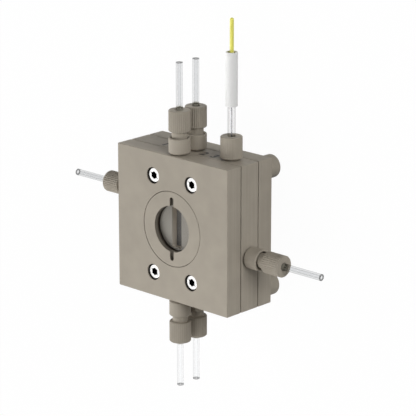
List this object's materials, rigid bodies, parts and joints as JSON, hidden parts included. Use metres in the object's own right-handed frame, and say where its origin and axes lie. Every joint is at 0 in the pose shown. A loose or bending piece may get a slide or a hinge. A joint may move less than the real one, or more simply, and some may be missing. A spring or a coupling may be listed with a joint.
{
  "type": "electrochemical cell",
  "caption": "Plate-type photo-electrochemical flow cell with a round window, clear line stubs and a reference electrode.",
  "frame": {"origin": "centre of the window opening in the front face", "axes": "+Z out of the window along its axis; +Y along the reference electrode, towards the edge it stands on; +X to the right seen from in front of the window. The cell lies on its back on its four thumb knobs."},
  "size_m": [0.1564, 0.1789, 0.0373],
  "materials": {
    "peek": "satin beige-grey",
    "seal_rubber": "matt black",
    "membrane": "matt",
    "window_glass": "polished",
    "electrode_felt": "dark grey, porous",
    "electrode_metal": "satin",
    "contact_brass": "satin",
    "screw_steel": "bright",
    "ferrule_plastic": "matt",
    "clear_tube": "clear",
    "glass_tube": "polished",
    "frit": "matt, porous",
    "silver": "bright",
    "white_sleeve": "satin white",
    "yellow_lead": "satin yellow"
  },
  "bodies": {
    "cell": {"front_plate": "peek", "middle_plate": "peek", "back_plate": "peek", "front_gasket": "seal_rubber", "rear_gasket": "seal_rubber", "membrane": "membrane", "working_electrode": "electrode_felt", "counter_electrode": "electrode_metal", "working_contact": "contact_brass", "counter_contact": "contact_brass", "window_front_seal": "seal_rubber", "window_glass": "window_glass", "window_rear_seal": "seal_rubber", "cap_screws": "screw_steel", "reference_seal": "seal_rubber", "top_front_adapter": "peek", "top_rear_adapter": "peek", "bottom_front_adapter": "peek", "bottom_rear_adapter": "peek", "left_adapter": "peek", "right_adapter": "peek"},
    "window_ring": {"window_ring": "peek"},
    "reference_nut": {"reference_nut": "peek"},
    "reference_electrode": {"reference_glass": "glass_tube", "reference_frit": "frit", "reference_wire": "silver", "reference_sleeve": "white_sleeve", "reference_lead": "yellow_lead"},
    "knob_top_left": {"knob_top_left": "peek", "stud_top_left": "screw_steel"},
    "knob_top_right": {"knob_top_right": "peek", "stud_top_right": "screw_steel"},
    "knob_bottom_left": {"knob_bottom_left": "peek", "stud_bottom_left": "screw_steel"},
    "knob_bottom_right": {"knob_bottom_right": "peek", "stud_bottom_right": "screw_steel"},
    "line_top_front": {"top_front_tube": "clear_tube", "top_front_ferrule": "ferrule_plastic"},
    "nut_top_front": {"top_front_nut": "peek"},
    "line_top_rear": {"top_rear_tube": "clear_tube", "top_rear_ferrule": "ferrule_plastic"},
    "nut_top_rear": {"top_rear_nut": "peek"},
    "line_bottom_front": {"bottom_front_tube": "clear_tube", "bottom_front_ferrule": "ferrule_plastic"},
    "nut_bottom_front": {"bottom_front_nut": "peek"},
    "line_bottom_rear": {"bottom_rear_tube": "clear_tube", "bottom_rear_ferrule": "ferrule_plastic"},
    "nut_bottom_rear": {"bottom_rear_nut": "peek"},
    "line_left": {"left_tube": "clear_tube", "left_ferrule": "ferrule_plastic"},
    "nut_left": {"left_nut": "peek"},
    "line_right": {"right_tube": "clear_tube", "right_ferrule": "ferrule_plastic"},
    "nut_right": {"right_nut": "peek"}
  },
  "joints": [
    {"name": "window_ring_turn", "type": "hinge", "parent": "cell", "child": "window_ring", "pos_m": [0, 0, 0], "axis": [0, 0, 1], "range_deg": [0, 960]},
    {"name": "reference_nut_turn", "type": "hinge", "parent": "cell", "child": "reference_nut", "pos_m": [0.0235, 0.035, -0.01505], "axis": [0, 1, 0], "range_deg": [0, 1260]},
    {"name": "reference_slide", "type": "slide", "parent": "cell", "child": "reference_electrode", "axis": [0, 1, 0], "range_m": [0, 0.04]},
    {"name": "knob_top_left_turn", "type": "hinge", "parent": "cell", "child": "knob_top_left", "pos_m": [-0.0285, 0.0285, -0.03], "axis": [0, 0, -1], "range_deg": [0, 5400]},
    {"name": "knob_top_right_turn", "type": "hinge", "parent": "cell", "child": "knob_top_right", "pos_m": [0.0285, 0.0285, -0.03], "axis": [0, 0, -1], "range_deg": [0, 5400]},
    {"name": "knob_bottom_left_turn", "type": "hinge", "parent": "cell", "child": "knob_bottom_left", "pos_m": [-0.0285, -0.0285, -0.03], "axis": [0, 0, -1], "range_deg": [0, 5400]},
    {"name": "knob_bottom_right_turn", "type": "hinge", "parent": "cell", "child": "knob_bottom_right", "pos_m": [0.0285, -0.0285, -0.03], "axis": [0, 0, -1], "range_deg": [0, 5400]},
    {"name": "line_top_front_slide", "type": "slide", "parent": "cell", "child": "line_top_front", "axis": [0, 1, 0], "range_m": [0, 0.0037]},
    {"name": "nut_top_front_turn", "type": "hinge", "parent": "line_top_front", "child": "nut_top_front", "pos_m": [0, 0.035, -0.00547], "axis": [0, 1, 0], "range_deg": [0, 1260]},
    {"name": "line_top_rear_slide", "type": "slide", "parent": "cell", "child": "line_top_rear", "axis": [0, 1, 0], "range_m": [0, 0.0037]},
    {"name": "nut_top_rear_turn", "type": "hinge", "parent": "line_top_rear", "child": "nut_top_rear", "pos_m": [0, 0.035, -0.01637], "axis": [0, 1, 0], "range_deg": [0, 1260]},
    {"name": "line_bottom_front_slide", "type": "slide", "parent": "cell", "child": "line_bottom_front", "axis": [0, -1, 0], "range_m": [0, 0.0037]},
    {"name": "nut_bottom_front_turn", "type": "hinge", "parent": "line_bottom_front", "child": "nut_bottom_front", "pos_m": [0, -0.035, -0.00547], "axis": [0, -1, 0], "range_deg": [0, 1260]},
    {"name": "line_bottom_rear_slide", "type": "slide", "parent": "cell", "child": "line_bottom_rear", "axis": [0, -1, 0], "range_m": [0, 0.0037]},
    {"name": "nut_bottom_rear_turn", "type": "hinge", "parent": "line_bottom_rear", "child": "nut_bottom_rear", "pos_m": [0, -0.035, -0.01637], "axis": [0, -1, 0], "range_deg": [0, 1260]},
    {"name": "line_left_slide", "type": "slide", "parent": "cell", "child": "line_left", "axis": [-1, 0, 0], "range_m": [0, 0.0037]},
    {"name": "nut_left_turn", "type": "hinge", "parent": "line_left", "child": "nut_left", "pos_m": [-0.035, 0.0092, -0.01505], "axis": [-1, 0, 0], "range_deg": [0, 1260]},
    {"name": "line_right_slide", "type": "slide", "parent": "cell", "child": "line_right", "axis": [1, 0, 0], "range_m": [0, 0.0037]},
    {"name": "nut_right_turn", "type": "hinge", "parent": "line_right", "child": "nut_right", "pos_m": [0.035, -0.0092, -0.01505], "axis": [1, 0, 0], "range_deg": [0, 1260]}
  ],
  "couplings": [
    {"joint": "nut_top_front_turn", "follows": "line_top_front_slide", "rad_per_m": 5936.9},
    {"joint": "nut_top_rear_turn", "follows": "line_top_rear_slide", "rad_per_m": 5936.9},
    {"joint": "nut_bottom_front_turn", "follows": "line_bottom_front_slide", "rad_per_m": 5936.9},
    {"joint": "nut_bottom_rear_turn", "follows": "line_bottom_rear_slide", "rad_per_m": 5936.9},
    {"joint": "nut_left_turn", "follows": "line_left_slide", "rad_per_m": 5936.9},
    {"joint": "nut_right_turn", "follows": "line_right_slide", "rad_per_m": 5936.9}
  ]
}
